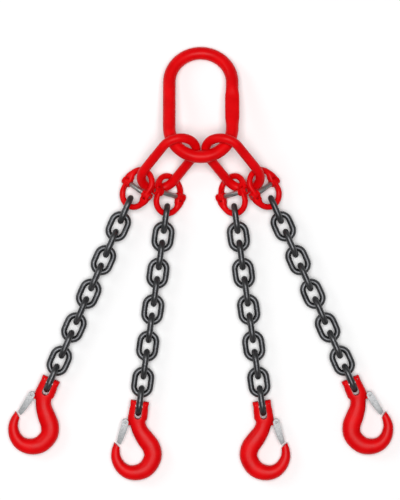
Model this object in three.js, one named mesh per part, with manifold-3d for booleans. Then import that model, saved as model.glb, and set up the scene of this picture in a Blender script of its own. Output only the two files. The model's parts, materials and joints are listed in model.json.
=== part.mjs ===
// Four leg chain sling, laid out flat: a master link, two intermediate links, four coupling links,
// four chains of eleven links and four clevis hooks with latches.
// Millimetres, +Z up, the legs run towards -Y, origin under the middle of the whole sling.

import * as THREE from 'three';
import { LoftGeometry } from 'three/addons/geometries/LoftGeometry.js';
import { mergeVertices } from 'three/addons/utils/BufferGeometryUtils.js';
import Module from 'manifold-3d';

const wasm = await Module();
wasm.setup();

// ---- driving dimensions ----

const MASTER = { wire: 21, crownRadius: 51.5, halfStraight: 40, tilt: 19.9 };
const PRESSED = { centre: -4, flatHalf: 17, taperHalf: 36, halfWide: 11.9, halfThick: 8.2 };
const INTERMEDIATE = { wire: 16, crownRadius: 29.8, halfStraight: 27 };
const COUPLING = { wire: 10.2, halfWidth: 21.8, halfLength: 31.9, hubRadius: 6.9, hubWidth: 15 };
const EYE = { tongue: 6.2, slot: 6.9, slotDepth: 7.5, neck: 15, neckThick: 10.2, flare: 0.3 };
const COUPLING_PIN = { radius: 3.5, hole: 3.85, sleeveRadius: 4.1, overhang: 6.8 };
const CHAIN = { wire: 10, insideLength: 30.4, insideWidth: 16.7, pitch: 30, links: 11 };
const CLEVIS = { slotHalf: 5.8, slotTop: 30, slotBottom: 15, pinRadius: 5.5, pinHalf: 14.2, linkGap: 0.3 };
const LATCH = { pivot: [-19, -28.6], topRadius: 5.2, halfWidth: 6, sheet: 1.8, pinRadius: 2, pinHalf: 6.5 };
const LATCH_LUG = { radius: 4.2, halfWidth: 3.6, length: 16 };
const LATCH_MOUTH = { width: 12, height: 40, x: 3, y: 16 };
const CLEARANCE = 0.4;
const OVERLAP = 0.2;

// where the rigid fittings come to rest on a level floor: centre in mm, turns in degrees
const REST = {
  intermediate: { at: [-52.3, -95.8, 49.7], yaw: -39.7, pitch: 27.8, roll: 36.9 },
  outerCoupling: { at: [-103.7, -135.8, 30.2], yaw: -30.4, pitch: 10.1, roll: -26.3, fold: 2 },
  innerCoupling: { at: [-51.3, -145.3, 23.2], yaw: 0, pitch: -22.5, roll: 35.5, fold: 24.4 },
};
const LEGS = [
  { name: 'leg_1', side: 1, coupling: REST.outerCoupling, firstLink: [-122.5, -170.2, 23], splay: 23.7 },
  { name: 'leg_2', side: 1, coupling: REST.innerCoupling, firstLink: [-57.3, -184.8, 22.2], splay: 8 },
  { name: 'leg_3', side: -1, coupling: REST.innerCoupling, firstLink: [-57.3, -184.8, 22.2], splay: 8 },
  { name: 'leg_4', side: -1, coupling: REST.outerCoupling, firstLink: [-122.5, -170.2, 23], splay: 23.7 },
];
const LEG_SLOPE = 0.72;
const HOOK_DROOP = 2.3;

// the hook's spine from the top of the clevis to the tip: x, y, half width, half thickness
const HOOK_SPINE = [
  [0, 9, 15, 4],
  [0, 6.5, 15.2, 8],
  [0, 2, 15.3, 10.5],
  [0, -12, 15.6, 11],
  [0, -21, 15.8, 11.3],
  [2, -29, 12.8, 11],
  [7.5, -40, 13, 11],
  [17.5, -51.5, 14.4, 11.5],
  [28.5, -63.5, 15.3, 12],
  [33.4, -79, 15.4, 12.4],
  [27, -97.5, 15.2, 12.5],
  [14, -107.5, 13.8, 12.3],
  [-2, -109.6, 12.2, 11.8],
  [-16.5, -102.8, 10.4, 10.6],
  [-26, -89.5, 8.4, 9],
  [-28.2, -77, 6.9, 7.6],
  [-27.4, -69.5, 5.7, 6.4],
  [-27, -62, 5.2, 5.6],
];
const TIP_FACE = { at: [-27.4, -68.6], angle: -36, size: 30 };
// the latch's side outline, from its top round to its front edge
const LATCH_OUTLINE = [
  [-14.2, -26],
  [-13.6, -31],
  [-15, -44],
  [-21.6, -66.2],
  [-28.4, -62.4],
  [-24.4, -31],
  [-23.4, -26],
];

// facets round a bar and along a crown
const SIDES = 8;
const HEAVY_SIDES = 12;
const HOOK_SIDES = 10;
const CROWN_STEPS = 5;
const MASTER_CROWN_STEPS = 13;
const INTERMEDIATE_CROWN_STEPS = 9;
const BOW_STEPS = 6;
const ROUND_SIDES = 10;

// ---- materials ----

const redPaint = new THREE.MeshStandardMaterial({ color: 0xc8040a, roughness: 0.28, metalness: 0.1 });
const chainSteel = new THREE.MeshStandardMaterial({ color: 0x3c3f43, roughness: 0.42, metalness: 0.75 });
const zincPlate = new THREE.MeshStandardMaterial({ color: 0xa9acae, roughness: 0.35, metalness: 0.9 });

// ---- helpers ----

const radians = THREE.MathUtils.degToRad;

// a closed geometry as a manifold solid
function toSolid(geometry) {
  const plain = new THREE.BufferGeometry();
  plain.setAttribute('position', geometry.getAttribute('position'));
  plain.setIndex(geometry.getIndex());
  const merged = mergeVertices(plain, 1e-4);
  const vertProperties = new Float32Array(merged.getAttribute('position').array);
  const triVerts = new Uint32Array(merged.getIndex().array);
  return new wasm.Manifold(new wasm.Mesh({ numProp: 3, vertProperties, triVerts }));
}

function toGeometry(solid) {
  const mesh = solid.getMesh();
  const geometry = new THREE.BufferGeometry();
  geometry.setAttribute('position', new THREE.BufferAttribute(mesh.vertProperties, 3));
  geometry.setIndex(new THREE.BufferAttribute(mesh.triVerts, 1));
  return geometry;
}

// one oval section of a loft: across x up points along the loft
function ovalSection(centre, across, up, halfAcross, halfUp, sides, phase) {
  const points = [];
  for (let j = 0; j < sides; j += 1) {
    const angle = (2 * Math.PI * (j + phase)) / sides;
    const point = centre.clone();
    point.addScaledVector(across, halfAcross * Math.cos(angle));
    point.addScaledVector(up, halfUp * Math.sin(angle));
    points.push(point);
  }
  return points;
}

// the stations round an oblong loop, each a centre and an outward direction
function oblongStations(radius, halfStraight, crownSteps, sideCuts = []) {
  const stations = [];
  for (const end of [0, 1]) {
    for (let i = 0; i <= crownSteps; i += 1) {
      const angle = Math.PI * (end + i / crownSteps);
      const out = new THREE.Vector3(Math.cos(angle), Math.sin(angle), 0);
      const centre = out.clone().multiplyScalar(radius);
      centre.y += halfStraight * (1 - 2 * end);
      stations.push({ centre, out });
    }
    if (end === 1) {
      for (const y of sideCuts) {
        stations.push({ centre: new THREE.Vector3(radius, y, 0), out: new THREE.Vector3(1, 0, 0) });
      }
    }
  }
  return stations;
}

// a bent and welded link: one oval section carried round an oblong loop
function loopGeometry(stations, sides, phase, halfSizes) {
  const down = new THREE.Vector3(0, 0, -1);
  const sections = stations.map(({ centre, out }) => {
    const [across, up] = halfSizes(centre);
    return ovalSection(centre, out, down, across, up, sides, phase);
  });
  sections.push(sections[0]);
  return new LoftGeometry(sections);
}

function box(width, height, depth, x, y, z) {
  return new THREE.BoxGeometry(width, height, depth).translate(x, y, z);
}

// a round bar along X
function crossBar(radius, length, x, y) {
  const bar = new THREE.CylinderGeometry(radius, radius, length, ROUND_SIDES);
  return bar.rotateZ(Math.PI / 2).translate(x, y, 0);
}

// a round bar along Z
function uprightBar(radius, length, x, y) {
  const bar = new THREE.CylinderGeometry(radius, radius, length, ROUND_SIDES);
  return bar.rotateX(Math.PI / 2).translate(x, y, 0);
}

// ---- the pieces, each in its own frame with its long axis on Y ----

function masterLinkGeometry() {
  const { wire, crownRadius, halfStraight } = MASTER;
  const { centre, flatHalf, taperHalf, halfWide, halfThick } = PRESSED;
  const cuts = [-taperHalf, -flatHalf, flatHalf, taperHalf].map((y) => y + centre);
  const stations = oblongStations(crownRadius, halfStraight, MASTER_CROWN_STEPS, cuts);
  const halfSizes = (at) => {
    const pressed = at.x > crownRadius - 1 && Math.abs(at.y - centre) < flatHalf + 1;
    return pressed ? [halfWide, halfThick] : [wire / 2, wire / 2];
  };
  return loopGeometry(stations, HEAVY_SIDES, 0.5, halfSizes);
}

function intermediateLinkGeometry() {
  const { wire, crownRadius, halfStraight } = INTERMEDIATE;
  const stations = oblongStations(crownRadius, halfStraight, INTERMEDIATE_CROWN_STEPS);
  return loopGeometry(stations, HEAVY_SIDES, 0, () => [wire / 2, wire / 2]);
}

// the middle facet of a crown is set to the true inside length
const LINK_CROWN = (CHAIN.insideWidth + CHAIN.wire) / 2;
const CROWN_FACET = Math.cos(Math.PI / (2 * CROWN_STEPS));
const LINK_HALF_STRAIGHT = (CHAIN.insideLength - CHAIN.insideWidth * CROWN_FACET) / 2;

function chainLinkGeometry() {
  const stations = oblongStations(LINK_CROWN, LINK_HALF_STRAIGHT, CROWN_STEPS);
  return loopGeometry(stations, SIDES, 0, () => [CHAIN.wire / 2, CHAIN.wire / 2]);
}

// the neck between a forked hub and its bow, narrowing to the bar
function forkNeckGeometry() {
  const { wire, halfWidth, hubRadius, hubWidth } = COUPLING;
  const { slotDepth, neck, flare } = EYE;
  const across = new THREE.Vector3(1, 0, 0);
  const down = new THREE.Vector3(0, 0, -1);
  const wide = hubWidth / 2 + flare;
  const rows = [
    [0, wide, hubRadius],
    [slotDepth + flare, wide, hubRadius - 2 * flare],
    [neck, wire / 2, wire / 2],
  ];
  const sections = rows.map(([y, halfAcross, halfUp]) => {
    const centre = new THREE.Vector3(-halfWidth, y, 0);
    return ovalSection(centre, across, down, halfAcross, halfUp, SIDES, 0.5);
  });
  return new LoftGeometry(sections, { capStart: true, capEnd: true });
}

// one half of a coupling link: a bow with a forked hub on -X and a single eye on +X
function couplingHalfSolid() {
  const { wire, halfWidth, halfLength, hubRadius, hubWidth } = COUPLING;
  const { tongue, slot, slotDepth, neck, neckThick } = EYE;
  const down = new THREE.Vector3(0, 0, -1);
  const stations = [[0, slotDepth]];
  for (let i = 0; i <= BOW_STEPS; i += 1) {
    stations.push([(Math.PI * i) / BOW_STEPS, halfLength - halfWidth]);
  }
  stations.push([Math.PI, slotDepth]);
  const sections = stations.map(([angle, rise]) => {
    const out = new THREE.Vector3(Math.cos(angle), Math.sin(angle), 0);
    const centre = out.clone().multiplyScalar(halfWidth);
    centre.y += rise;
    return ovalSection(centre, out, down, wire / 2, wire / 2, SIDES, 0);
  });
  const bow = toSolid(new LoftGeometry(sections, { capStart: true, capEnd: true }));

  const fork = toSolid(crossBar(hubRadius, hubWidth, -halfWidth, 0))
    .add(toSolid(forkNeckGeometry()))
    .subtract(toSolid(box(slot, 4 * slotDepth, 4 * hubRadius, -halfWidth, -slotDepth, 0)));
  const eye = toSolid(crossBar(hubRadius - CLEARANCE, tongue, halfWidth, 0))
    .add(toSolid(box(tongue, neck, neckThick, halfWidth, neck / 2, 0)));
  return bow.add(fork).add(eye);
}

function couplingUpperGeometry() {
  const { halfWidth, hubWidth } = COUPLING;
  const hole = crossBar(COUPLING_PIN.hole, 2 * (halfWidth + hubWidth), 0, 0);
  return toGeometry(couplingHalfSolid().subtract(toSolid(hole)));
}

// the lower half is the same forging turned end for end, and carries the load pin and its sleeve
function couplingLowerGeometry() {
  const { halfWidth, hubWidth } = COUPLING;
  const { radius, sleeveRadius, overhang } = COUPLING_PIN;
  const pin = toSolid(crossBar(radius, 2 * (halfWidth + overhang), 0, 0));
  const sleeve = toSolid(crossBar(sleeveRadius, 2 * halfWidth - hubWidth - 2 * CLEARANCE, 0, 0));
  const half = couplingHalfSolid().rotate([0, 0, 180]);
  return toGeometry(half.add(pin).add(sleeve));
}

// the last two links of a chain, touching crown to crown
function endLinksGeometry() {
  const rise = CHAIN.insideLength + OVERLAP;
  const flat = toSolid(chainLinkGeometry().translate(0, rise, 0));
  const upright = toSolid(chainLinkGeometry().rotateY(Math.PI / 2));
  return toGeometry(flat.add(upright));
}

function hookSolid() {
  const points = HOOK_SPINE.map(([x, y]) => new THREE.Vector3(x, y, 0));
  const up = new THREE.Vector3(0, 0, 1);
  const sections = HOOK_SPINE.map(([, , halfWidth, halfThick], i) => {
    const before = points[Math.max(i - 1, 0)];
    const after = points[Math.min(i + 1, points.length - 1)];
    const along = after.clone().sub(before).normalize();
    const across = up.clone().cross(along);
    return ovalSection(points[i], across, up, halfWidth, halfThick, HOOK_SIDES, 0.5);
  });
  const [x, y] = TIP_FACE.at;
  const aboveTip = new THREE.BoxGeometry(TIP_FACE.size, TIP_FACE.size, TIP_FACE.size)
    .translate(0, TIP_FACE.size / 2, 0)
    .rotateZ(radians(TIP_FACE.angle))
    .translate(x, y, 0);
  const bar = toSolid(new LoftGeometry(sections, { capStart: true, capEnd: true }));
  return bar.subtract(toSolid(aboveTip));
}

// the hook with its clevis, its load pin and the lug that the latch turns on
function hookGeometry() {
  const { slotHalf, slotTop, slotBottom, pinRadius, pinHalf } = CLEVIS;
  const { radius, halfWidth, length } = LATCH_LUG;
  const [x, y] = LATCH.pivot;
  const through = 4 * pinHalf;
  const slot = toSolid(box(2 * slotHalf, slotTop + slotBottom, through, 0, (slotTop - slotBottom) / 2, 0))
    .add(toSolid(uprightBar(slotHalf, through, 0, -slotBottom)));
  const lug = toSolid(uprightBar(radius, 2 * halfWidth, x, y))
    .add(toSolid(box(length, 2 * radius, 2 * halfWidth, x + length / 2, y, 0)))
    .subtract(toSolid(uprightBar(LATCH.pinRadius + CLEARANCE, through, x, y)));
  const pin = toSolid(crossBar(pinRadius, 2 * pinHalf, 0, 0));
  return toGeometry(hookSolid().subtract(slot).add(lug).add(pin));
}

function extruded(outline, halfDepth) {
  const shape = new THREE.Shape(outline.map(([x, y]) => new THREE.Vector2(x, y)));
  const options = { depth: 2 * halfDepth, bevelEnabled: false };
  return new THREE.ExtrudeGeometry(shape, options).translate(0, 0, -halfDepth);
}

// a folded sheet channel: two cheeks and an outer web, with its pivot pin
function latchGeometry() {
  const { pivot, topRadius, halfWidth, sheet, pinRadius, pinHalf } = LATCH;
  const { width, height } = LATCH_MOUTH;
  const [x, y] = pivot;
  const gap = 2 * (halfWidth - sheet);
  const round = uprightBar(topRadius, 2 * halfWidth, x, y);
  const blank = toSolid(extruded(LATCH_OUTLINE, halfWidth)).add(toSolid(round));
  const inside = LATCH_OUTLINE.map((point) => [point[0] + 2 * sheet, point[1] - OVERLAP]);
  const hollow = toSolid(extruded(inside, gap / 2))
    .add(toSolid(uprightBar(LATCH_LUG.radius + 2 * CLEARANCE, gap, x, y)))
    .add(toSolid(box(width, height, gap, x + LATCH_MOUTH.x, y + LATCH_MOUTH.y, 0)));
  const pin = toSolid(uprightBar(pinRadius, 2 * pinHalf, x, y));
  return toGeometry(blank.subtract(hollow).add(pin));
}

// ---- assembly ----

const parts = {
  masterLink: masterLinkGeometry(),
  intermediateLink: intermediateLinkGeometry(),
  chainLink: chainLinkGeometry(),
  couplingUpper: couplingUpperGeometry(),
  couplingLower: couplingLowerGeometry(),
  endLinks: endLinksGeometry(),
  hook: hookGeometry(),
  latch: latchGeometry(),
};

function piece(name, geometry, material) {
  const mesh = new THREE.Mesh(geometry, material);
  mesh.name = name;
  return mesh;
}

// right-hand fittings are left-hand ones turned over, so a mirrored place needs no mirrored part
function place(object, { at, yaw, pitch, roll }, side) {
  object.position.set(at[0] * side, at[1], at[2]);
  object.rotation.order = 'ZXY';
  const turn = side > 0 ? radians(roll) : Math.PI - radians(roll);
  object.rotation.set(radians(pitch), turn, radians(yaw) * side);
  return object;
}

function buildCoupling(leg) {
  const coupling = new THREE.Group();
  coupling.add(piece(`${leg.name}_coupling_upper_half`, parts.couplingUpper, redPaint));
  const lower = piece(`${leg.name}_coupling_lower_half`, parts.couplingLower, redPaint);
  lower.rotation.x = radians(leg.coupling.fold) * leg.side;
  coupling.add(lower);
  return place(coupling, leg.coupling, leg.side);
}

function buildHook(leg) {
  const hook = new THREE.Group();
  hook.add(piece(`${leg.name}_hook`, parts.hook, redPaint));
  hook.add(piece(`${leg.name}_latch`, parts.latch, zincPlate));
  const toPin = CHAIN.insideLength / 2 - CLEVIS.pinRadius - CLEVIS.linkGap;
  hook.position.y = -CHAIN.pitch * (CHAIN.links - 1) - toPin;
  hook.rotation.x = radians(HOOK_DROOP) * leg.side;
  return hook;
}

// odd links stand on edge and even links lie flat
function buildChain(leg) {
  const chain = new THREE.Group();
  for (let i = 1; i <= CHAIN.links - 2; i += 1) {
    const link = piece(`${leg.name}_chain_link_${i}`, parts.chainLink, chainSteel);
    link.position.y = -CHAIN.pitch * (i - 1);
    link.rotation.y = i % 2 === 1 ? Math.PI / 2 : 0;
    chain.add(link);
  }
  const last = piece(`${leg.name}_chain_links_10_11`, parts.endLinks, chainSteel);
  last.position.y = -CHAIN.pitch * (CHAIN.links - 1);
  chain.add(last);
  chain.add(buildHook(leg));
  return place(chain, { at: leg.firstLink, yaw: -leg.splay, pitch: LEG_SLOPE, roll: 0 }, leg.side);
}

function buildSling() {
  const sling = new THREE.Group();
  const master = piece('master_link', parts.masterLink, redPaint);
  const rise = (MASTER.crownRadius + MASTER.halfStraight) * Math.sin(radians(MASTER.tilt));
  master.position.z = MASTER.wire / 2 + rise;
  master.rotation.x = -radians(MASTER.tilt);
  sling.add(master);
  for (const [name, side] of [['intermediate_link_left', 1], ['intermediate_link_right', -1]]) {
    sling.add(place(piece(name, parts.intermediateLink, redPaint), REST.intermediate, side));
  }
  for (const leg of LEGS) {
    sling.add(buildCoupling(leg));
    sling.add(buildChain(leg));
  }
  return sling;
}

// the origin is under the middle of the sling, on the floor
function centreOnFloor(sling) {
  const extent = new THREE.Box3().setFromObject(sling, true);
  const middle = extent.getCenter(new THREE.Vector3());
  sling.position.set(-middle.x, -middle.y, -extent.min.z);
  sling.updateMatrixWorld(true);
  return sling;
}

const sling = centreOnFloor(buildSling());

export default sling;
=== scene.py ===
"""Looks for the four leg chain sling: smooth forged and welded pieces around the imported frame."""

import json
import math

import bmesh
import bpy
import numpy as np
from mathutils import Matrix, Vector


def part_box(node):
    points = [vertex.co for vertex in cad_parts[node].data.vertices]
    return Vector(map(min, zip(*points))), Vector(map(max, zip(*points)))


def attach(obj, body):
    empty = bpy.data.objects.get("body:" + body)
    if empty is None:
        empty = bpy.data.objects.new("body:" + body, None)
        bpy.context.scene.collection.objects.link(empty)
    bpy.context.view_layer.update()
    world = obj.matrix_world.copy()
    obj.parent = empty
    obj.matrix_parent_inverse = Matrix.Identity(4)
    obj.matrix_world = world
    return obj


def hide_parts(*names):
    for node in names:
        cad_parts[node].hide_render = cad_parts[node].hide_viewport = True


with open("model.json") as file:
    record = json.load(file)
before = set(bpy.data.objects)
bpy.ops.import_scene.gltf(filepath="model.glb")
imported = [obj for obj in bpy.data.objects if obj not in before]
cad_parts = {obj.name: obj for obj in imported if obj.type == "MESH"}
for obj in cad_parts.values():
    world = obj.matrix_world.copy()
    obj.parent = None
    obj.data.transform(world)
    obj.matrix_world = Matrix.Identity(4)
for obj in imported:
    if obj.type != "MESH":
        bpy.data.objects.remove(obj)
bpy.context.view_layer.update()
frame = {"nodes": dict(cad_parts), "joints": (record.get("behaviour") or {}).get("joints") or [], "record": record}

# ---- dimensions in millimetres, each piece in its own frame with its long axis on Y ----

MASTER = {"wire": 20.6, "radius": 51.2, "straight": 39.6, "seat": 81.06, "weld_side": -1}
PRESS = {"centre": -4.0, "flat": 16.0, "taper": 34.0, "wide": 11.7, "thick": 7.9}
RING = {"wire": 15.2, "radius": 29.8, "straight": 27.0, "weld_side": 1}
LINK = {"wire": 9.75, "radius": 13.35, "straight": 7.26, "weld_side": 1}
WELD = {"rise": 0.28, "reach": 1.6}
COUPLING = {"wire": 9.7, "half_width": 21.8, "crown": 10.1, "hub": 6.9, "hub_width": 14.8}
EYE = {"width": 6.1, "slot": 6.9, "depth": 7.5}
PIN = {"radius": 3.5, "half": 28.5, "hole": 3.8, "sleeve": 4.1, "sleeve_half": 13.9}
END_LINKS = {"pin_gap": 9.4, "apart": 30.6}
CLEVIS = {"slot": 5.8, "bottom": 15.0, "pin": 5.5, "pin_half": 15.1, "hole": 5.7}
LATCH = {"x": -19.0, "y": -28.6, "half": 6.0, "sheet": 1.5, "pin": 2.0, "pin_half": 6.9, "top": 5.2}
LUG = {"radius": 4.2, "half": 1.9, "length": 16.0}
ROLL_PIN = {"x": 10.6, "y": 3.6, "radius": 1.5, "depth": 3.0, "face": 10.6, "half": 7.6, "play": 0.25}
SPRING = {"wire": 0.42, "radius": 3.3, "start": 2.35, "turns": 2.0, "rise": 1.35, "leg": 17.0}

# hook spine from the top of the clevis to the tip: x, y, half width, half thickness, squareness
HOOK_SPINE = [
    (0, 9.1, 14.7, 4.2, 3.2),
    (0, 8.3, 15.1, 7.4, 3.2),
    (0, 6.0, 15.3, 9.6, 3.0),
    (0, 1.0, 15.4, 10.6, 2.8),
    (0, -7, 15.5, 10.8, 2.7),
    (0, -14, 15.7, 11.0, 2.6),
    (0, -21, 15.7, 11.2, 2.5),
    (2, -29, 12.8, 11.0, 2.4),
    (7.5, -40, 13.0, 11.0, 2.3),
    (17.5, -51.5, 14.4, 11.4, 2.3),
    (28.5, -63.5, 14.7, 11.6, 2.3),
    (33.4, -79, 14.4, 11.7, 2.3),
    (27, -97.2, 14.0, 11.8, 2.3),
    (14, -107.0, 13.0, 11.9, 2.3),
    (-2, -109.2, 11.5, 11.5, 2.3),
    (-16.2, -102.4, 9.8, 10.4, 2.3),
    (-25.6, -89.5, 8.1, 8.9, 2.4),
    (-28.0, -77, 6.7, 7.5, 2.3),
    (-27.5, -69.5, 5.7, 6.3, 2.3),
    (-27.0, -62.0, 5.2, 5.5, 2.3),
]
TIP_FACE = {"at": (-27.4, -67.8), "angle": -36.0, "size": 20.0}
LATCH_OUTLINE = [
    (-14.2, -26.0),
    (-13.6, -31.0),
    (-15.0, -44.0),
    (-21.0, -65.2),
    (-22.4, -66.2),
    (-27.6, -63.2),
    (-28.2, -61.0),
    (-24.4, -31.0),
    (-23.4, -26.0),
]
LEGS = (1, 2, 3, 4)

# ---- meshes ----

MM = 0.001


def mesh_object(name, verts, faces):
    """A new object whose mesh is given in millimetres."""
    mesh = bpy.data.meshes.new(name)
    mesh.from_pydata([tuple(c * MM for c in v) for v in verts], [], faces)
    shape = bmesh.new()
    shape.from_mesh(mesh)
    bmesh.ops.recalc_face_normals(shape, faces=shape.faces)
    shape.to_mesh(mesh)
    shape.free()
    thing = bpy.data.objects.new(name, mesh)
    bpy.context.scene.collection.objects.link(thing)
    return thing


def section(centre, across, up, half_across, half_up, sides, power=2.0):
    """Points of a superellipse round a centre."""
    points = []
    for j in range(sides):
        angle = 2 * math.pi * j / sides
        c, s = math.cos(angle), math.sin(angle)
        a = half_across * math.copysign(abs(c) ** (2 / power), c)
        b = half_up * math.copysign(abs(s) ** (2 / power), s)
        points.append(centre + across * a + up * b)
    return points


def loft(name, sections, closed=False):
    """A skin over sections of equal length, capped unless it closes on itself."""
    sides = len(sections[0])
    verts = [p for ring in sections for p in ring]
    faces = []
    last = len(sections) if closed else len(sections) - 1
    for i in range(last):
        a, b = i * sides, (i + 1) % len(sections) * sides
        for j in range(sides):
            k = (j + 1) % sides
            faces.append((a + j, a + k, b + k, b + j))
    if not closed:
        faces.append(tuple(range(sides)))
        faces.append(tuple((len(sections) - 1) * sides + j for j in range(sides)))
    return mesh_object(name, verts, faces)


def lathe(name, profile, axis, centre=(0, 0, 0), sides=28):
    """A turned piece: profile is (place along the axis, radius)."""
    along = Vector(axis)
    across = Vector((0, 1, 0))
    up = along.cross(across)
    middle = Vector(centre)
    return loft(name, [section(middle + along * t, across, up, r, r, sides) for t, r in profile])


def bar(name, radius, half, axis, centre=(0, 0, 0), edge=0.5):
    """A round bar with rounded ends."""
    steps = ((half, radius - edge), (half - 0.3 * edge, radius - 0.3 * edge), (half - edge, radius))
    profile = [(-t, r) for t, r in steps] + [(t, r) for t, r in reversed(steps)]
    return lathe(name, profile, axis, centre)


def block(name, size, centre):
    """A box of the given size round its centre."""
    half = Vector(size) / 2
    middle = Vector(centre)
    corners = [(x, y, z) for x in (-1, 1) for y in (-1, 1) for z in (-1, 1)]
    verts = [middle + Vector((x * half.x, y * half.y, z * half.z)) for x, y, z in corners]
    faces = [(0, 1, 3, 2), (4, 6, 7, 5), (0, 4, 5, 1), (2, 3, 7, 6), (0, 2, 6, 4), (1, 5, 7, 3)]
    return mesh_object(name, verts, faces)


def plate(name, outline, half):
    """A flat outline given thickness along Z."""
    count = len(outline)
    verts = [Vector((x, y, z)) for z in (-half, half) for x, y in outline]
    faces = [(j, (j + 1) % count, count + (j + 1) % count, count + j) for j in range(count)]
    faces.append(tuple(range(count)))
    faces.append(tuple(range(count, 2 * count)))
    return mesh_object(name, verts, faces)


def settle(thing):
    """Applies the modifiers to the mesh."""
    graph = bpy.context.evaluated_depsgraph_get()
    mesh = bpy.data.meshes.new_from_object(thing.evaluated_get(graph))
    thing.modifiers.clear()
    thing.data = mesh
    return thing


def combine(base, other, operation):
    """Joins another shape to the base or cuts it away, and removes the other."""
    change = base.modifiers.new("combine", "BOOLEAN")
    change.operation = operation
    change.solver = "EXACT"
    change.object = other
    settle(base)
    bpy.data.objects.remove(other)
    return base


def soften(thing, width, angle=38, segments=2):
    """Rounds the sharp edges that a forging or a fold has."""
    change = thing.modifiers.new("soften", "BEVEL")
    change.width = width * MM
    change.segments = segments
    change.limit_method = "ANGLE"
    change.angle_limit = math.radians(angle)
    return settle(thing)


def shade(thing, angle=40):
    thing.data.shade_smooth()
    thing.data.set_sharp_from_angle(angle=math.radians(angle))
    return thing


def smooth_step(t):
    t = min(max(t, 0.0), 1.0)
    return t * t * (3 - 2 * t)


def oblong_stations(radius, straight, arc_steps, bar_steps):
    """Centre and outward direction round an oblong loop."""
    stations = []
    for end in (0, 1):
        for i in range(arc_steps + 1):
            angle = math.pi * (end + i / arc_steps)
            out = Vector((math.cos(angle), math.sin(angle), 0))
            stations.append((out * radius + Vector((0, straight * (1 - 2 * end), 0)), out))
        side = 1 if end else -1
        for i in range(1, bar_steps):
            y = straight * side * (2 * i / bar_steps - 1)
            stations.append((Vector((side * radius, y, 0)), Vector((side, 0, 0))))
    return stations


def weld_rise(at, size):
    """How far the weld's upset collar stands out at a place on the loop."""
    if at.x * size["weld_side"] < 0:
        return 0.0
    return WELD["rise"] * math.exp(-((at.y / WELD["reach"]) ** 2))


def loop_mesh(name, size, arc_steps, bar_steps, sides):
    up = Vector((0, 0, 1))
    sections = []
    for at, out in oblong_stations(size["radius"], size["straight"], arc_steps, bar_steps):
        half = size["wire"] / 2 + weld_rise(at, size)
        sections.append(section(at, out, up, half, half, sides))
    return shade(loft(name, sections, closed=True)).data


def master_mesh():
    up = Vector((0, 0, 1))
    half = MASTER["wire"] / 2
    sections = []
    for at, out in oblong_stations(MASTER["radius"], MASTER["straight"], 40, 44):
        wide = thick = half + weld_rise(at, MASTER)
        power = 2.0
        if at.x > MASTER["radius"] - 1:
            reach = abs(at.y - PRESS["centre"]) - PRESS["flat"]
            press = 1 - smooth_step(reach / (PRESS["taper"] - PRESS["flat"]))
            wide += (PRESS["wide"] - half) * press
            thick += (PRESS["thick"] - half) * press
            power += 1.1 * press
        sections.append(section(at, out, up, wide, thick, 36, power))
    return shade(loft("master", sections, closed=True)).data


def coupling_half_mesh():
    """One forged half: a bow with a forked hub on -X and a single eye on +X."""
    up = Vector((0, 0, 1))
    half = COUPLING["wire"] / 2
    width, crown, hub = COUPLING["half_width"], COUPLING["crown"], COUPLING["hub"]
    path = [(0.0, y) for y in (1.0, 4.0, 7.0, 9.0)]
    path += [(math.pi * i / 26, crown) for i in range(27)]
    path += [(math.pi, y) for y in (9.0, 7.0, 4.0, 1.0)]
    sections = []
    for angle, rise in path:
        out = Vector((math.cos(angle), math.sin(angle), 0))
        at = out * width + Vector((0, rise, 0))
        near = 1 - smooth_step((at.y - 7.0) / 13.0)
        hub_half = EYE["width"] / 2 if at.x > 0 else COUPLING["hub_width"] / 2
        wide = half + (hub_half - half) * near
        thick = half + (hub - 0.7 - half) * near
        sections.append(section(at, out, up, wide, thick, 22, 2 + 1.2 * near))
    piece = loft("coupling_half", sections)
    fork = bar("fork", hub, COUPLING["hub_width"] / 2, (1, 0, 0), (-width, 0, 0), 1.0)
    eye = bar("eye", hub - 0.4, EYE["width"] / 2, (1, 0, 0), (width, 0, 0), 0.5)
    combine(piece, fork, "UNION")
    combine(piece, eye, "UNION")
    slot = block("slot", (EYE["slot"], 4 * EYE["depth"], 4 * hub), (-width, -EYE["depth"], 0))
    combine(piece, slot, "DIFFERENCE")
    hole = bar("hole", PIN["hole"], 2 * width, (1, 0, 0))
    combine(piece, hole, "DIFFERENCE")
    return shade(soften(piece, 0.35)).data


def blend_rows(rows, steps):
    """Catmull-Rom rows between the given ones."""
    table = [np.array(row, float) for row in rows]
    out = []
    for i in range(len(table) - 1):
        a, b = table[max(i - 1, 0)], table[i]
        c, d = table[i + 1], table[min(i + 2, len(table) - 1)]
        for k in range(steps):
            t = k / steps
            curve = 2 * b + (c - a) * t + (2 * a - 5 * b + 4 * c - d) * t**2
            out.append((curve + (3 * b - a - 3 * c + d) * t**3) / 2)
    out.append(table[-1])
    return out


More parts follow.
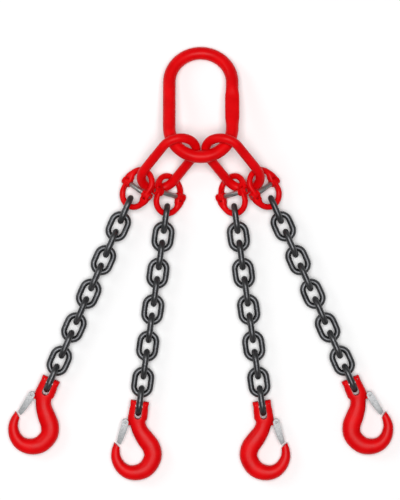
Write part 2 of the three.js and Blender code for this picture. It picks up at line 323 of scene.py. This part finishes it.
def hook_mesh():
    """The forged hook body with its clevis ears, pin holes and latch lug."""
    rows = blend_rows(HOOK_SPINE, 5)
    up = Vector((0, 0, 1))
    points = [Vector((row[0], row[1], 0)) for row in rows]
    sections = []
    for i, row in enumerate(rows):
        along = (points[min(i + 1, len(rows) - 1)] - points[max(i - 1, 0)]).normalized()
        sections.append(section(points[i], up.cross(along), up, row[2], row[3], 40, row[4]))
    piece = loft("hook", sections)
    long = 60.0
    slot = block("slot", (2 * CLEVIS["slot"], long, long), (0, long / 2 - CLEVIS["bottom"], 0))
    combine(piece, slot, "DIFFERENCE")
    floor = bar("slot_floor", CLEVIS["slot"] + 0.01, long / 2, (0, 0, 1), (0, -CLEVIS["bottom"], 0))
    combine(piece, floor, "DIFFERENCE")
    combine(piece, bar("pin_hole", CLEVIS["hole"], long / 2, (1, 0, 0)), "DIFFERENCE")
    for side in (-1, 1):
        for face in (1, -1):
            place = (side * ROLL_PIN["x"], ROLL_PIN["y"], face * ROLL_PIN["face"])
            radius = ROLL_PIN["radius"] + ROLL_PIN["play"]
            dimple = bar("dimple", radius, ROLL_PIN["depth"], (0, 0, 1), place)
            combine(piece, dimple, "DIFFERENCE")
    tip = TIP_FACE["size"]
    above = block("above_tip", (tip, tip, tip), (0, tip / 2, 0))
    turn = Matrix.Rotation(math.radians(TIP_FACE["angle"]), 4, "Z")
    above.data.transform(Matrix.Translation(Vector((*TIP_FACE["at"], 0)) * MM) @ turn)
    combine(piece, above, "DIFFERENCE")
    x, y = LATCH["x"], LATCH["y"]
    lug = bar("lug", LUG["radius"], LUG["half"], (0, 0, 1), (x, y, 0), 0.4)
    web = block("web", (LUG["length"], 2 * LUG["radius"], 2 * LUG["half"]), (x + LUG["length"] / 2, y, 0))
    combine(piece, combine(lug, web, "UNION"), "UNION")
    return shade(soften(piece, 0.7, 58), 44).data


def round_outline(outline, rounds=2):
    """Cuts the corners of an outline, as a press tool does."""
    for _ in range(rounds):
        smoothed = []
        for i, point in enumerate(outline):
            a, b = Vector(point), Vector(outline[(i + 1) % len(outline)])
            smoothed += [a.lerp(b, 0.22), a.lerp(b, 0.78)]
        outline = smoothed
    return [tuple(p) for p in outline]


def latch_mesh():
    """A folded sheet channel: two cheeks and an outer web."""
    x, y, half = LATCH["x"], LATCH["y"], LATCH["half"]
    piece = plate("latch", round_outline(LATCH_OUTLINE), half)
    combine(piece, bar("top", LATCH["top"], half, (0, 0, 1), (x, y, 0), 0.1), "UNION")
    gap = half - LATCH["sheet"]
    inner = [(px + 1.9, py - 0.2) for px, py in round_outline(LATCH_OUTLINE)]
    combine(piece, plate("hollow", inner, gap), "DIFFERENCE")
    combine(piece, bar("top_hollow", LUG["radius"] + 0.8, gap, (0, 0, 1), (x, y, 0), 0.05), "DIFFERENCE")
    combine(piece, block("mouth", (12, 40, 2 * gap), (x + 3, y + 16, 0)), "DIFFERENCE")
    return shade(soften(piece, 0.35, 50)).data


def spring_mesh():
    """A torsion spring: two coils beside the lug and a leg down each side of the latch."""
    verts, faces = [], []
    x, y = LATCH["x"], LATCH["y"]
    for side in (-1, 1):
        path = []
        steps = int(24 * SPRING["turns"])
        for i in range(steps + 1):
            angle = math.pi + 2 * math.pi * SPRING["turns"] * i / steps
            z = side * (SPRING["start"] + SPRING["rise"] * i / steps)
            at = Vector((x + SPRING["radius"] * math.cos(angle), y + SPRING["radius"] * math.sin(angle), z))
            path.append(at)
        end = path[-1]
        path += [end + Vector((-0.15 * t, -t, 0)) for t in (1.5, 0.5 * SPRING["leg"], SPRING["leg"])]
        base = len(verts)
        for i, at in enumerate(path):
            along = (path[min(i + 1, len(path) - 1)] - path[max(i - 1, 0)]).normalized()
            across = along.cross(Vector((0, 0, 1))).normalized()
            ring = section(at, across, across.cross(along), SPRING["wire"], SPRING["wire"], 10)
            verts += ring
            if i:
                a, b = base + (i - 1) * 10, base + i * 10
                faces += [(a + j, a + (j + 1) % 10, b + (j + 1) % 10, b + j) for j in range(10)]
        faces.append(tuple(base + j for j in range(10)))
        faces.append(tuple(base + (len(path) - 1) * 10 + j for j in range(10)))
    return shade(mesh_object("spring", verts, faces)).data


# ---- materials ----


class Shader:
    """A node material built step by step."""

    def __init__(self, name):
        self.material = bpy.data.materials.new(name)
        self.material.use_nodes = True
        self.nodes = self.material.node_tree.nodes
        self.links = self.material.node_tree.links
        self.surface = self.nodes["Principled BSDF"]
        self.place = self.nodes.new("ShaderNodeTexCoord").outputs["Object"]

    def noise(self, scale, detail=4.0, rough=0.55, distortion=0.0):
        node = self.nodes.new("ShaderNodeTexNoise")
        node.inputs["Scale"].default_value = scale
        node.inputs["Detail"].default_value = detail
        node.inputs["Roughness"].default_value = rough
        node.inputs["Distortion"].default_value = distortion
        self.links.new(self.place, node.inputs["Vector"])
        return node.outputs["Fac"]

    def ramp(self, value, stops):
        node = self.nodes.new("ShaderNodeValToRGB")
        while len(node.color_ramp.elements) < len(stops):
            node.color_ramp.elements.new(0.5)
        for element, (at, colour) in zip(node.color_ramp.elements, stops):
            element.position = at
            element.color = (*colour, 1) if len(colour) == 3 else colour
        self.links.new(value, node.inputs["Fac"])
        return node.outputs["Color"]

    def grey(self, value, stops):
        return self.ramp(value, [(at, (v, v, v)) for at, v in stops])

    def mix(self, factor, a, b, blend="MIX"):
        node = self.nodes.new("ShaderNodeMix")
        node.data_type = "RGBA"
        node.blend_type = blend
        for socket, value in ((node.inputs[0], factor), (node.inputs[6], a), (node.inputs[7], b)):
            if isinstance(value, bpy.types.NodeSocket):
                self.links.new(value, socket)
            elif isinstance(value, (int, float)):
                socket.default_value = value
            else:
                socket.default_value = (*value, 1)
        return node.outputs[2]

    def edges(self, stops):
        """How sharp an outer edge is, from the shape itself."""
        node = self.nodes.new("ShaderNodeNewGeometry")
        return self.grey(node.outputs["Pointiness"], stops)

    def bump(self, layers):
        """Relief from several heights, each with its depth in millimetres."""
        normal = None
        for height, depth in layers:
            node = self.nodes.new("ShaderNodeBump")
            node.inputs["Strength"].default_value = 1.0
            node.inputs["Distance"].default_value = depth * MM
            self.links.new(height, node.inputs["Height"])
            if normal:
                self.links.new(normal, node.inputs["Normal"])
            normal = node.outputs["Normal"]
        self.links.new(normal, self.surface.inputs["Normal"])

    def set(self, **values):
        for key, value in values.items():
            socket = self.surface.inputs[key.replace("_", " ")]
            if isinstance(value, bpy.types.NodeSocket):
                self.links.new(value, socket)
            else:
                socket.default_value = value


def red_paint():
    """Satin paint over a forged skin, its sharp outer edges painted darker: partly wear specks, partly painted
    shade on the rims.
    """
    paint = Shader("red_gloss_paint")
    broad = paint.noise(38, 3)
    fine = paint.noise(420, 5, 0.6)
    colour = paint.ramp(broad, [(0.3, (0.6, 0.0005, 0.002)), (0.7, (0.74, 0.001, 0.003))])
    colour = paint.mix(paint.grey(fine, [(0.55, 0.0), (0.8, 0.35)]), colour, (0.46, 0.0005, 0.0015))
    specks = paint.grey(fine, [(0.5, 0.0), (0.66, 0.7)])
    # sharp outer edges, broken up by specks, turn dark red: partly paint wear, partly painted shade that darkens
    # the rims
    wear_and_rim_shade = paint.mix(paint.edges([(0.53, 0.0), (0.62, 1.0)]), (0, 0, 0), specks)
    colour = paint.mix(wear_and_rim_shade, colour, (0.16, 0.01, 0.01))
    paint.set(Base_Color=colour, Roughness=paint.grey(broad, [(0.3, 0.34), (0.75, 0.5)]))
    paint.set(Metallic=0.0, Specular_IOR_Level=0.09, Coat_Weight=0.03, Coat_Roughness=0.2)
    paint.bump([(broad, 0.35), (fine, 0.05)])
    return paint.material


def chain_steel():
    """Dark tempered steel with a thin oil film and rubbed bright spots."""
    steel = Shader("dark_chain_steel")
    broad = steel.noise(70, 4, 0.6)
    fine = steel.noise(700, 6, 0.65)
    colour = steel.ramp(broad, [(0.3, (0.036, 0.037, 0.04)), (0.7, (0.09, 0.091, 0.096))])
    colour = steel.mix(steel.grey(fine, [(0.5, 0.0), (0.75, 0.6)]), colour, (0.02, 0.02, 0.023))
    colour = steel.mix(steel.edges([(0.52, 0.0), (0.6, 0.6)]), colour, (0.24, 0.24, 0.24))
    steel.set(Base_Color=colour, Roughness=steel.grey(fine, [(0.3, 0.3), (0.7, 0.5)]), Metallic=0.85)
    steel.bump([(broad, 0.15), (fine, 0.04)])
    return steel.material


def latch_zinc():
    """Pressed sheet under a mottled zinc coat."""
    zinc = Shader("zinc_sheet")
    spangle = zinc.nodes.new("ShaderNodeTexVoronoi")
    spangle.inputs["Scale"].default_value = 420
    zinc.links.new(zinc.place, spangle.inputs["Vector"])
    fine = zinc.noise(900, 5, 0.6)
    colour = zinc.ramp(spangle.outputs["Distance"], [(0.1, (0.36, 0.365, 0.37)), (0.8, (0.25, 0.255, 0.26))])
    colour = zinc.mix(zinc.grey(fine, [(0.55, 0.0), (0.8, 0.5)]), colour, (0.18, 0.18, 0.18))
    zinc.set(Base_Color=colour, Roughness=zinc.grey(fine, [(0.3, 0.42), (0.7, 0.58)]), Metallic=0.5)
    zinc.bump([(fine, 0.03)])
    return zinc.material


def bright_steel():
    """Ground pin steel with fine turning marks round its axis."""
    steel = Shader("bright_pin_steel")
    marks = steel.nodes.new("ShaderNodeTexWave")
    marks.wave_type = "BANDS"
    marks.inputs["Scale"].default_value = 900
    marks.inputs["Distortion"].default_value = 1.5
    steel.links.new(steel.place, marks.inputs["Vector"])
    fine = steel.noise(600, 4)
    colour = steel.ramp(fine, [(0.35, (0.36, 0.36, 0.355)), (0.7, (0.5, 0.5, 0.49))])
    steel.set(Base_Color=colour, Roughness=steel.grey(fine, [(0.3, 0.26), (0.7, 0.42)]), Metallic=0.9)
    steel.bump([(marks.outputs["Fac"], 0.012), (fine, 0.02)])
    return steel.material


def spring_steel():
    """Blued spring wire."""
    steel = Shader("spring_wire_steel")
    fine = steel.noise(800, 4)
    colour = steel.ramp(fine, [(0.3, (0.09, 0.09, 0.1)), (0.7, (0.2, 0.2, 0.21))])
    steel.set(Base_Color=colour, Roughness=steel.grey(fine, [(0.3, 0.28), (0.7, 0.42)]), Metallic=0.95)
    steel.bump([(fine, 0.01)])
    return steel.material


LOOKS = {
    "red": (red_paint(), "red_paint"),
    "chain": (chain_steel(), "chain_steel"),
    "zinc": (latch_zinc(), "latch_zinc"),
    "bright": (bright_steel(), "bright_steel"),
    "spring": (spring_steel(), "bright_steel"),
}

# ---- frames of the pieces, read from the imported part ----

joints = {j["name"]: j for j in frame["joints"]}
mounts = {m["name"]: m for m in frame["record"]["mounts"]}


def pivot(name):
    return Vector(joints[name]["pos_m"])


def hinge_axis(name):
    return Vector(joints[name]["axis"]).normalized()


def points_of(node):
    """The distinct corners of a CAD node, in metres."""
    co = np.array([v.co for v in frame["nodes"][node].data.vertices], float)
    return np.unique(np.round(co, 6), axis=0)


def pose(origin, x, y):
    """The matrix of a local frame from its origin and two of its axes."""
    z = x.cross(y).normalized()
    rotation = Matrix((x, y, z)).transposed().to_4x4()
    return Matrix.Translation(origin) @ rotation


def ring_pose(node):
    """A ring's own axes are those its corners spread along."""
    co = points_of(node)
    middle = co.mean(0)
    axes = np.linalg.svd(co - middle, full_matrices=False)[2]
    return pose(Vector(middle), Vector(axes[1]), Vector(axes[0]))


def master_pose():
    seat, flat = mounts["crane_hook_seat"], mounts["pressed_flat"]
    y = -Vector(seat["axis"]).normalized()
    x = y.cross(Vector(flat["axis"])).normalized()
    return pose(Vector(seat["pos_m"]) - y * MASTER["seat"] * MM, x, y)


def coupling_poses(leg):
    """The frames of the two halves, from their hinge and the link that hangs below."""
    middle = pivot(f"leg_{leg}_coupling_fold")
    x = hinge_axis(f"leg_{leg}_coupling_fold")
    spread = (points_of(f"leg_{leg}_coupling_lower_half") - np.array(middle)) @ np.array(x)
    if spread.max() < -spread.min():
        x = -x
    low = (middle - pivot(f"leg_{leg}_link_1_swing")).normalized()
    reach = points_of(f"leg_{leg}_coupling_upper_half") - np.array(middle)
    far = np.linalg.norm(reach, axis=1)
    top = Vector(reach[far > 0.985 * far.max()].mean(0))
    top = (top - x * top.dot(x)).normalized()
    return pose(middle, x, top), pose(middle, x, low)


def leg_direction(leg):
    return (pivot(f"leg_{leg}_link_10_sway") - pivot(f"leg_{leg}_link_2_sway")).normalized()


def hook_pose(leg):
    pin, latch = pivot(f"leg_{leg}_hook_swing"), pivot(f"leg_{leg}_latch_swing")
    x = hinge_axis(f"leg_{leg}_hook_swing")
    if (latch - pin).dot(x) > 0:
        x = -x
    z = hinge_axis(f"leg_{leg}_latch_swing")
    y = z.cross(x)
    if y.dot(leg_direction(leg)) > 0:
        y = -y
    return pose(pin, x, y)


# ---- assembly ----


def piece(name, mesh, look, matrix, body, *nodes):
    """Puts a mesh in place, gives it its finish and lets it ride on its body."""
    material, slot = LOOKS[look]
    own = mesh.copy()
    own.transform(matrix)
    own.materials.append(material)
    thing = bpy.data.objects.new(name, own)
    bpy.context.scene.collection.objects.link(thing)
    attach(thing, body)
    if nodes:
        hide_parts(*nodes)
    return thing


def own_mesh(thing, angle=40):
    return shade(thing, angle).data


def turned(matrix):
    """The same frame turned end for end in its own plane."""
    return matrix @ Matrix.Rotation(math.pi, 4, "Z")


meshes = {
    "master": master_mesh(),
    "ring": loop_mesh("ring", RING, 30, 24, 30),
    "link": loop_mesh("link", LINK, 20, 14, 22),
    "half": coupling_half_mesh(),
    "load_pin": own_mesh(bar("load_pin", PIN["radius"], PIN["half"], (1, 0, 0), edge=0.6)),
    "sleeve": own_mesh(bar("sleeve", PIN["sleeve"], PIN["sleeve_half"], (1, 0, 0), edge=0.5)),
    "hook": hook_mesh(),
    "clevis_pin": own_mesh(bar("clevis_pin", CLEVIS["pin"], CLEVIS["pin_half"], (1, 0, 0), edge=0.9)),
    "latch": latch_mesh(),
    "latch_pin": own_mesh(
        bar("latch_pin", LATCH["pin"], LATCH["pin_half"], (0, 0, 1), (LATCH["x"], LATCH["y"], 0), 0.5)
    ),
    "spring": spring_mesh(),
}
roll_place = (-ROLL_PIN["x"], ROLL_PIN["y"], 0)
meshes["roll_pin"] = own_mesh(bar("roll_pin", ROLL_PIN["radius"], ROLL_PIN["half"], (0, 0, 1), roll_place, 0.4))
for leftover in [o for o in bpy.context.scene.objects if o.type == "MESH" and o.data in meshes.values()]:
    bpy.data.objects.remove(leftover)

piece("master_link_forging", meshes["master"], "red", master_pose(), "master_link", "master_link")
for side in ("left", "right"):
    node = f"intermediate_link_{side}"
    piece(f"{node}_ring", meshes["ring"], "red", ring_pose(node), node, node)

for leg in LEGS:
    upper, lower = f"leg_{leg}_coupling_upper_half", f"leg_{leg}_coupling_lower_half"
    top, low = coupling_poses(leg)
    piece(f"{upper}_forging", meshes["half"], "red", top, upper, upper)
    piece(f"{lower}_forging", meshes["half"], "red", turned(low), lower, lower)
    piece(f"leg_{leg}_coupling_load_pin", meshes["load_pin"], "bright", low, lower)
    piece(f"leg_{leg}_coupling_sleeve", meshes["sleeve"], "bright", low, lower)

    hook, latch = f"leg_{leg}_hook", f"leg_{leg}_latch"
    at = hook_pose(leg)
    piece(f"{hook}_forging", meshes["hook"], "red", at, hook, hook)
    piece(f"{hook}_clevis_pin", meshes["clevis_pin"], "bright", at, hook)
    piece(f"{hook}_roll_pin", meshes["roll_pin"], "spring", at, hook)
    piece(f"{hook}_latch_spring", meshes["spring"], "spring", at, hook)
    piece(f"{latch}_plate", meshes["latch"], "zinc", at, latch, latch)
    piece(f"{latch}_pivot_pin", meshes["latch_pin"], "zinc", at, latch)

    down = leg_direction(leg)
    across = hinge_axis(f"{hook}_swing")
    flat = (across, -down)
    on_edge = (down.cross(across), -down)
    for i in range(1, 10):
        node = f"leg_{leg}_chain_link_{i}"
        low_corner, high_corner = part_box(node)
        matrix = pose((low_corner + high_corner) / 2, *(on_edge if i % 2 else flat))
        piece(f"{node}_welded", meshes["link"], "chain", matrix, node, node)
    node = f"leg_{leg}_chain_links_10_11"
    last = pivot(f"{hook}_swing") - down * END_LINKS["pin_gap"] * MM
    before = last - down * END_LINKS["apart"] * MM
    piece(f"leg_{leg}_chain_link_10_welded", meshes["link"], "chain", pose(before, *flat), node, node)
    piece(f"leg_{leg}_chain_link_11_welded", meshes["link"], "chain", pose(last, *on_edge), node)

# ---- studio ----


def area_light(name, place, aim, size, power, colour=(1, 1, 1)):
    data = bpy.data.lights.new(name, "AREA")
    data.shape = "RECTANGLE"
    data.size, data.size_y = size
    data.energy = power
    data.color = colour
    light = bpy.data.objects.new(name, data)
    light.location = place
    light.rotation_euler = (Vector(aim) - Vector(place)).to_track_quat("-Z", "Y").to_euler()
    bpy.context.scene.collection.objects.link(light)


area_light("overhead_softbox", (0, 0, 6.9), (0, 0, 0), (3.4, 3.4), 450)
area_light("side_softbox", (-2.6, 1.4, 2.6), (0, 0, 0), (1.2, 1.8), 22)

world = bpy.data.worlds.new("studio")
bpy.context.scene.world = world
world.use_nodes = True
world.node_tree.nodes["Background"].inputs["Color"].default_value = (1, 1, 1, 1)
world.node_tree.nodes["Background"].inputs["Strength"].default_value = 0.14

floor = block("floor", (6000, 6000, 20), (0, 0, -10))
floor_look = Shader("pale_floor")
floor_look.set(Base_Color=floor_look.grey(floor_look.noise(3), [(0.3, 0.92), (0.7, 0.94)]), Roughness=0.9)
floor.data.materials.append(floor_look.material)

VIEW_HEIGHT = 6.0
VIEW_TALL = 0.8185
VIEW_CENTRE = (-0.0012, 0.022)
camera_data = bpy.data.cameras.new("camera")
camera_data.sensor_width = 36
camera_data.lens = 36 * VIEW_HEIGHT / VIEW_TALL
camera_data.clip_end = 20
camera = bpy.data.objects.new("camera", camera_data)
camera.location = (*VIEW_CENTRE, VIEW_HEIGHT)
bpy.context.scene.collection.objects.link(camera)
bpy.context.scene.camera = camera
bpy.context.scene.view_settings.view_transform = "Standard"
